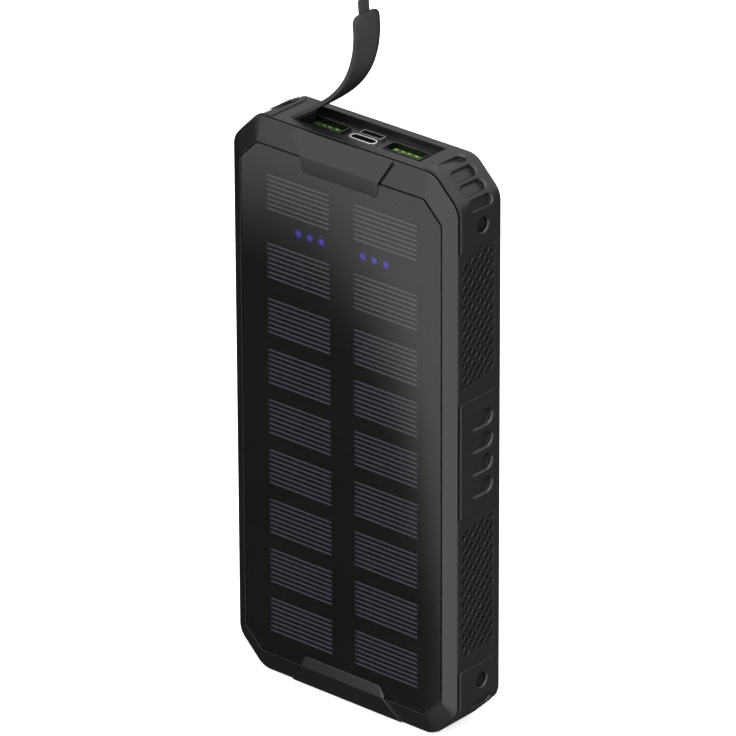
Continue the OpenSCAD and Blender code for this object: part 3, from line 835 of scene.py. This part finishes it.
def softbox(name, place, target, size, power):
    """A soft area light, left out of the camera's sight."""
    data = bpy.data.lights.new(name, "AREA")
    data.shape = "RECTANGLE"
    data.size, data.size_y = size
    data.energy = power
    o = bpy.data.objects.new(name, data)
    o.location = place
    bpy.context.scene.collection.objects.link(o)
    o.rotation_euler = (Vector(target) - o.location).to_track_quat("-Z", "Y").to_euler()
    o.visible_camera = False
    return o


def stage_sheet(name, half_w, half_h, mat, hidden_from):
    """A rectangle that belongs to the stage, hidden from the given kinds of ray."""
    mesh = bpy.data.meshes.new(name)
    corners = [(x * half_w, y * half_h, 0) for x, y in ((-1, -1), (1, -1), (1, 1), (-1, 1))]
    mesh.from_pydata(corners, [], [(0, 1, 2, 3)])
    mesh.materials.append(mat)
    o = bpy.data.objects.new(name, mesh)
    bpy.context.scene.collection.objects.link(o)
    for kind in hidden_from:
        setattr(o, f"visible_{kind}", False)
    return o


def make_floor():
    """A pale studio floor that only the camera sees, and only from above."""
    p = Paint("studio_floor")
    tone = p.mix(p.ramp(p.noise(3, 3, 0.5), 0.3, 0.7), (0.78, 0.78, 0.78), (0.82, 0.82, 0.82))
    s = p.principled(tone, 0.8)
    s.inputs["Emission Color"].default_value = (1, 1, 1, 1)
    s.inputs["Emission Strength"].default_value = 0.55
    gone = p.node("ShaderNodeBsdfTransparent")
    p.either(p.backfacing(), s.outputs["BSDF"], gone.outputs["BSDF"])
    half, drop = 6.0, 0.6 * MM
    floor = stage_sheet("floor", half, half, p.mat, ("glossy", "diffuse", "shadow", "transmission"))
    floor.location.z = -drop


def make_studio():
    """Soft light all round, as smooth lobes of brightness by direction.

    A lobe is its axis, the cosines between which it rises, and its strength.
    """
    world = bpy.data.worlds.new("studio")
    world.use_nodes = True
    tree = world.node_tree
    direction = tree.nodes.new("ShaderNodeTexCoord").outputs["Generated"]
    brightness, ambient = None, 0.015
    lobes = (
        ((0.486, -0.811, 0.324), 0.05, 0.5, 1.9),
        ((0.0, 0.0, 1.0), 0.1, 0.6, 1.2),
        ((0.8, 0.5, 0.0), 0.1, 0.75, 0.145),
        ((0.0, 0.0, -1.0), 0.45, 0.85, 0.03),
    )
    for axis, low, high, strength in lobes:
        dot = tree.nodes.new("ShaderNodeVectorMath")
        dot.operation = "DOT_PRODUCT"
        tree.links.new(direction, dot.inputs[0])
        dot.inputs[1].default_value = axis
        ease = tree.nodes.new("ShaderNodeMapRange")
        ease.interpolation_type = "SMOOTHSTEP"
        ends = (("From Min", low), ("From Max", high), ("To Min", 0.0), ("To Max", strength))
        for key, x in ends:
            ease.inputs[key].default_value = x
        tree.links.new(dot.outputs["Value"], ease.inputs["Value"])
        add = tree.nodes.new("ShaderNodeMath")
        add.operation = "ADD"
        if brightness is None:
            add.inputs[0].default_value = ambient
        else:
            tree.links.new(brightness, add.inputs[0])
        tree.links.new(ease.outputs["Result"], add.inputs[1])
        brightness = add.outputs["Value"]
    tree.nodes["Background"].inputs["Color"].default_value = (1, 1, 1, 1)
    tree.links.new(brightness, tree.nodes["Background"].inputs["Strength"])
    bpy.context.scene.world = world


def make_reflector():
    """A card with a soft-edged dark field, which shows only in mirrors, most of all in the window."""
    lo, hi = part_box("window_lens")
    middle = Vector(((lo.x + hi.x) / 2, lo.y, (lo.z + hi.z) / 2))
    camera = bpy.context.scene.camera.location
    view = (middle - camera).normalized()
    ray = Vector((view.x, -view.y, view.z))  # the line of sight, mirrored in the window
    away, half_w, half_h = 0.2, 0.08, 0.12
    across = ray.cross(Vector((0, 0, 1))).normalized() * -1
    upward = ray.cross(across).normalized()
    if upward.z < 0:
        upward = -upward
    spread = ((camera - middle).length + away) / (camera - middle).length
    p = Paint("reflector")
    xyz = p.node("ShaderNodeSeparateXYZ")
    p.link(p.coords, xyz.inputs["Vector"])
    # back from the card's own plane to the place on the window that mirrors it
    run_x, rise_x, rise_z = across.x * spread, upward.x * spread, upward.z * spread
    window_x = p.math("MULTIPLY", xyz.outputs["X"], 1 / run_x)
    climb = p.math("SUBTRACT", xyz.outputs["Y"], p.math("MULTIPLY", window_x, rise_x))
    window_z = p.math("MULTIPLY", climb, 1 / rise_z)
    # the dark field is a squarish oval on the window, 0 in its middle and 1 near its edge; its numbers
    # were fitted to how bright the photograph's window is
    oval_x, oval_z, half_x, half_z, square = -26.6 * MM, -106.5 * MM, 66.3 * MM, 236.2 * MM, 2.62
    soft_from, soft_to, dark, bright = 0.967, 1.168, 0.09, 1.52
    far_x = p.math("ABSOLUTE", p.math("MULTIPLY", p.math("ADD", window_x, -oval_x), 1 / half_x))
    above = p.math("ADD", window_z, middle.z - oval_z)
    far_z = p.math("ABSOLUTE", p.math("MULTIPLY", above, 1 / half_z))
    field = p.math("ADD", p.math("POWER", far_x, square), p.math("POWER", far_z, square))
    field = p.math("POWER", field, 1 / square)
    light = p.node("ShaderNodeEmission")
    strength = p.ramp(field, soft_from, soft_to, dark, bright, "SMOOTHSTEP")
    p.link(strength, light.inputs["Strength"])
    p.link(light.outputs["Emission"], p.out.inputs["Surface"])
    place = middle + ray * away
    back = across.cross(upward)
    card = stage_sheet("reflector", half_w, half_h, p.mat, ("camera", "diffuse", "shadow", "transmission"))
    card.matrix_world = Matrix((
        (across.x, upward.x, back.x, place.x),
        (across.y, upward.y, back.y, place.y),
        (across.z, upward.z, back.z, place.z),
        (0, 0, 0, 1),
    ))


make_floor()
make_studio()
make_reflector()
# the rear's own light; the flap, floor and card are left out of it
rear_fill = softbox("rear_fill", place=(-0.42, 0.5, 0.01), target=(-0.02, 0.01, 0.08),
                    size=(0.5, 0.26), power=14.0)
lit = bpy.data.collections.new("lit_from_behind")
for o in bpy.context.scene.objects:
    if o.type == "MESH" and not o.name.startswith(("flap", "floor", "reflector")):
        lit.objects.link(o)
rear_fill.light_linking.receiver_collection = lit
bpy.context.scene.view_settings.view_transform = "Standard"
